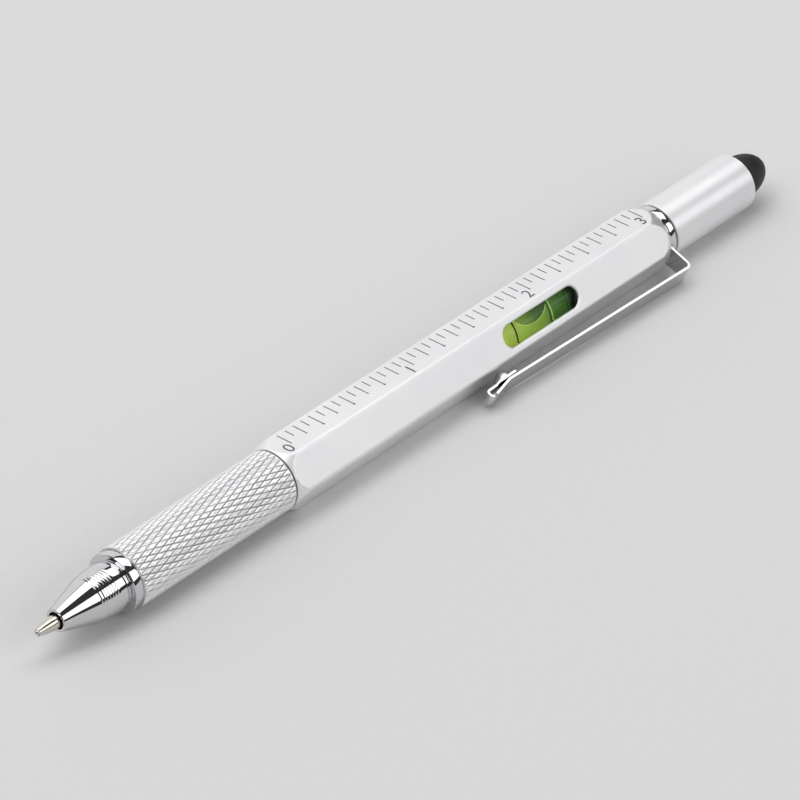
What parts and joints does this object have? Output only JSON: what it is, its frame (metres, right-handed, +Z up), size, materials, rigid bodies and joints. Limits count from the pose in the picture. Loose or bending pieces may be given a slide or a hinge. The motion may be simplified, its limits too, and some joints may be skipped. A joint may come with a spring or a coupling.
{
  "type": "multi tool pen",
  "caption": "Twist-action ballpoint pen with a hexagonal ruler barrel, a spirit level, a spring clip, a screwdriver bit under its cap and a rubber stylus tip.",
  "frame": {"origin": "middle of the barrel's lowest flat, where the pen rests", "axes": "+X along the pen towards the stylus tip, +Z up through the ruler's face, -Y towards the level window and the clip"},
  "size_m": [0.1546, 0.0137, 0.0095],
  "materials": {
    "satin_silver": "satin silver lacquer over aluminium",
    "chrome": "polished plate",
    "brass": "turned, unplated",
    "nickel_silver": "turned nickel silver",
    "tool_steel": "ground",
    "black_plastic": "moulded, matt",
    "white_plastic": "moulded, matt",
    "clear_plastic": "clear acrylic",
    "level_liquid": "clear green liquid",
    "blue_ink": "paste ink",
    "black_rubber": "moulded silicone, matt"
  },
  "bodies": {
    "barrel": {"hex_barrel": "satin_silver", "grip_washer": "black_plastic", "front_bushing": "brass", "cam_tube": "brass", "level_vial": "clear_plastic", "vial_liquid": "level_liquid", "vial_plug": "black_plastic", "clip_ring": "chrome", "rear_collar": "chrome", "bit_socket": "tool_steel", "socket_magnet": "nickel_silver"},
    "grip": {"knurled_grip": "satin_silver", "front_collar": "chrome", "guide_tube": "brass", "retaining_ring": "tool_steel"},
    "refill": {"refill_point": "nickel_silver", "refill_tube": "brass", "ink_column": "blue_ink", "ink_follower": "clear_plastic", "refill_carrier": "white_plastic", "follower_pin": "tool_steel"},
    "ball": {"writing_ball": "tool_steel"},
    "nose": {"nose_cone": "chrome"},
    "clip": {"clip_arm": "chrome"},
    "cap": {"stylus_cap": "satin_silver", "stylus_tip": "black_rubber"},
    "bit": {"screwdriver_bit": "tool_steel"}
  },
  "joints": [
    {"name": "grip_twist", "type": "hinge", "parent": "barrel", "child": "grip", "pos_m": [-0.04095, 0, 0.00475], "axis": [1, 0, 0], "range_deg": [0, 180]},
    {"name": "refill_slide", "type": "slide", "parent": "grip", "child": "refill", "axis": [1, 0, 0], "range_m": [0, 0.0056]},
    {"name": "ball_roll", "type": "hinge", "parent": "refill", "child": "ball", "pos_m": [-0.0866, 0, 0.00475], "axis": [0, 1, 0], "continuous": true},
    {"name": "nose_off", "type": "slide", "parent": "grip", "child": "nose", "axis": [-1, 0, 0], "range_m": [0, 0.022]},
    {"name": "clip_flex", "type": "hinge", "parent": "barrel", "child": "clip", "pos_m": [0.04093, -0.00753, 0.00171], "axis": [0, -0.3746, 0.9272], "range_deg": [0, 5], "stiffness_Nm_per_rad": 0.5, "springref_deg": -2.86},
    {"name": "cap_off", "type": "slide", "parent": "barrel", "child": "cap", "axis": [1, 0, 0], "range_m": [0, 0.04]},
    {"name": "bit_out", "type": "slide", "parent": "barrel", "child": "bit", "axis": [1, 0, 0], "range_m": [0, 0.016]}
  ],
  "couplings": [
    {"joint": "grip_twist", "follows": "refill_slide", "rad_per_m": 561},
    {"joint": "bit_out", "follows": "cap_off", "ratio": 0.4}
  ]
}
